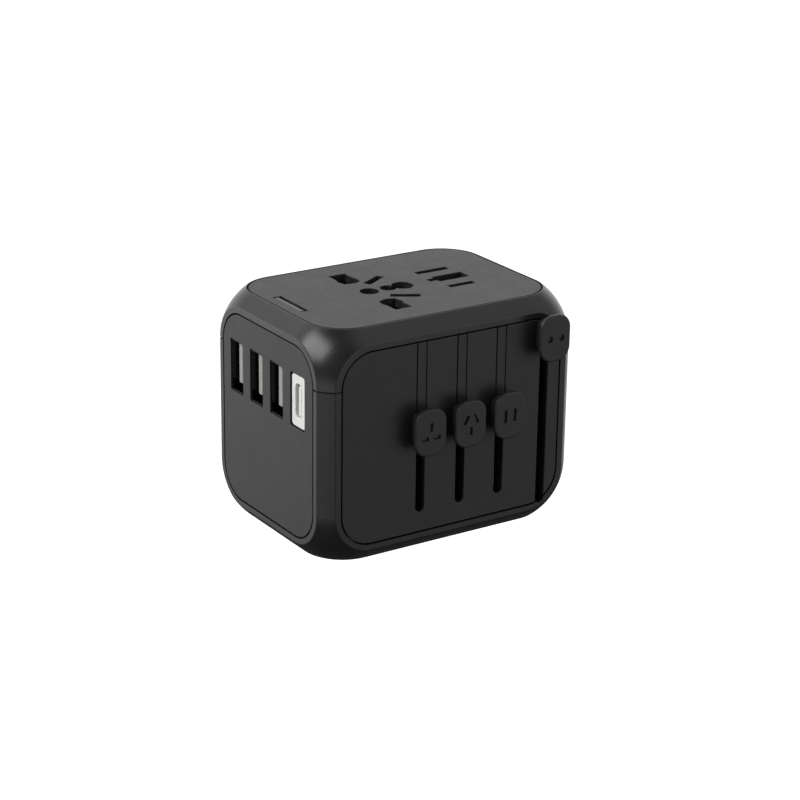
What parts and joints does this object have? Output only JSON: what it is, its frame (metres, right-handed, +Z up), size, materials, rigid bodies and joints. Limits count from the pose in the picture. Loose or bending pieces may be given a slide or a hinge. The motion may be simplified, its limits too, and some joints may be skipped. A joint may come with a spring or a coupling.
{
  "type": "universal travel adapter",
  "caption": "Bevelled travel adapter cube with a universal socket face, sliding plug sets for several regions and a USB charging face.",
  "frame": {"origin": "centre of the flat base, under the middle of the casing", "axes": "+Z up through the socket face, +X along the slider face to its right-hand end, -Y out of the slider face, -X out of the USB face"},
  "size_m": [0.069, 0.0542, 0.0555],
  "materials": {
    "charcoal_plastic": "fine moulded grain",
    "plate_plastic": "fine spark-eroded grain",
    "panel_plastic": "fine moulded grain",
    "knob_plastic": "satin",
    "carrier_plastic": "satin black",
    "lens_plastic": "smoky translucent",
    "insert_plastic": "off-white moulding",
    "barrier_plastic": "plain moulding",
    "pin_metal": "nickel-plated brass",
    "contact_metal": "spring brass strip",
    "steel": "tinned steel",
    "port_metal": "black nickel-plated steel",
    "circuit_board": "solder resist on glass fibre",
    "ferrite": "sintered ferrite",
    "winding_tape": "polyester tape",
    "capacitor_sleeve": "shrink sleeve",
    "fuse_glass": "clear glass"
  },
  "bodies": {
    "casing": {"upper_casing": "charcoal_plastic", "lower_casing": "charcoal_plastic", "socket_plate": "plate_plastic", "indicator_lens": "lens_plastic", "slider_panel": "panel_plastic", "usb_panel": "panel_plastic", "back_panel": "panel_plastic", "end_panel": "panel_plastic", "base_plate": "panel_plastic", "slot_ribs": "panel_plastic", "contact_carrier": "carrier_plastic", "contact_cover": "carrier_plastic", "line_contact": "contact_metal", "neutral_contact": "contact_metal", "line_busbar": "contact_metal", "neutral_busbar": "contact_metal", "shutter_springs": "steel", "led_board": "circuit_board", "indicator_led": "lens_plastic", "usb_a_shell_1": "port_metal", "usb_a_shell_2": "port_metal", "usb_a_shell_3": "port_metal", "usb_a_tongue_1": "insert_plastic", "usb_a_tongue_2": "insert_plastic", "usb_a_tongue_3": "insert_plastic", "usb_a_contacts": "contact_metal", "usb_c_bezel": "insert_plastic", "usb_c_shell": "insert_plastic", "usb_c_tongue": "insert_plastic", "usb_board": "circuit_board", "transformer_core": "ferrite", "transformer_winding": "winding_tape", "capacitors": "capacitor_sleeve", "control_chip": "carrier_plastic", "insulation_barrier": "barrier_plastic", "fuse_tube": "fuse_glass", "fuse_caps": "steel", "fuse_clips": "contact_metal", "casing_screws": "steel"},
    "uk_slider": {"uk_knob": "knob_plastic", "uk_carriage": "carrier_plastic", "uk_line_pin": "pin_metal", "uk_neutral_pin": "pin_metal", "uk_pin_sleeves": "carrier_plastic", "uk_earth_pin": "carrier_plastic"},
    "aus_slider": {"aus_knob": "knob_plastic", "aus_carriage": "carrier_plastic", "aus_line_blade": "pin_metal", "aus_neutral_blade": "pin_metal"},
    "us_slider": {"us_knob": "knob_plastic", "us_carriage": "carrier_plastic", "us_line_blade": "pin_metal", "us_neutral_blade": "pin_metal"},
    "eu_slider": {"eu_knob": "knob_plastic", "eu_block": "carrier_plastic", "eu_line_pin": "pin_metal", "eu_neutral_pin": "pin_metal", "eu_pin_sleeves": "carrier_plastic"},
    "shutter": {"safety_shutter": "carrier_plastic"}
  },
  "joints": [
    {"name": "uk_slide", "type": "slide", "parent": "casing", "child": "uk_slider", "axis": [0, 0, -1], "range_m": [0, 0.0185]},
    {"name": "aus_slide", "type": "slide", "parent": "casing", "child": "aus_slider", "axis": [0, 0, -1], "range_m": [0, 0.0185]},
    {"name": "us_slide", "type": "slide", "parent": "casing", "child": "us_slider", "axis": [0, 0, -1], "range_m": [0, 0.0185]},
    {"name": "eu_slide", "type": "slide", "parent": "casing", "child": "eu_slider", "axis": [0, 0, -1], "range_m": [0, 0.0385]},
    {"name": "shutter_slide", "type": "slide", "parent": "casing", "child": "shutter", "axis": [1, 0, 0], "range_m": [0, 0.0056], "stiffness_N_per_m": 120, "springref_m": -0.002, "deforming": ["shutter_springs"]}
  ]
}
